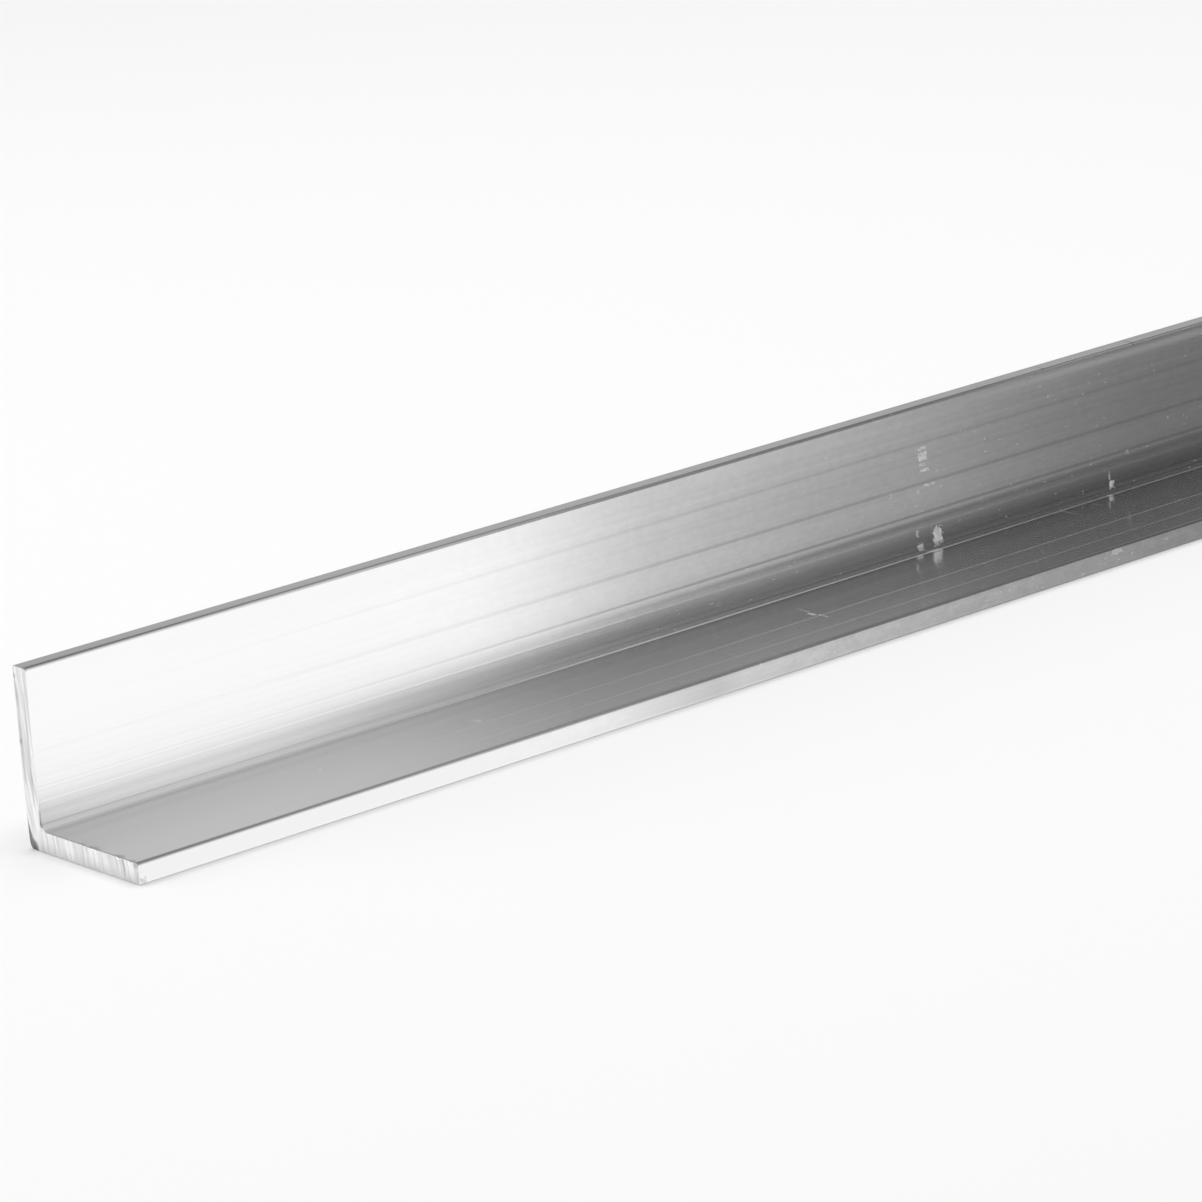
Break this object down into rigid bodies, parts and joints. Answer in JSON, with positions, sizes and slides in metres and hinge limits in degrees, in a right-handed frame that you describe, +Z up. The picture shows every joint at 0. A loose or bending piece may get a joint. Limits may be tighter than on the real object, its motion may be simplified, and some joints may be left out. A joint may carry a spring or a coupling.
{
  "type": "metal angle section",
  "caption": "Straight length of equal-leg aluminium angle: an L-shaped extruded bar with a rounded root, square toes and square-sawn ends.",
  "frame": {"origin": "middle of the length, on the floor, under the middle of the bar's 25 mm by 25 mm section box", "axes": "+X along the bar, away from the end that is nearest in the picture; +Z up; the foot lies flat and reaches towards -Y, and the upright stands along the +Y side"},
  "size_m": [0.3, 0.025, 0.025],
  "materials": {
    "mill_aluminium": "bare mill finish with fine die lines along the length, sawn ends"
  },
  "bodies": {
    "root": {"angle_bar": "mill_aluminium"}
  },
  "joints": []
}
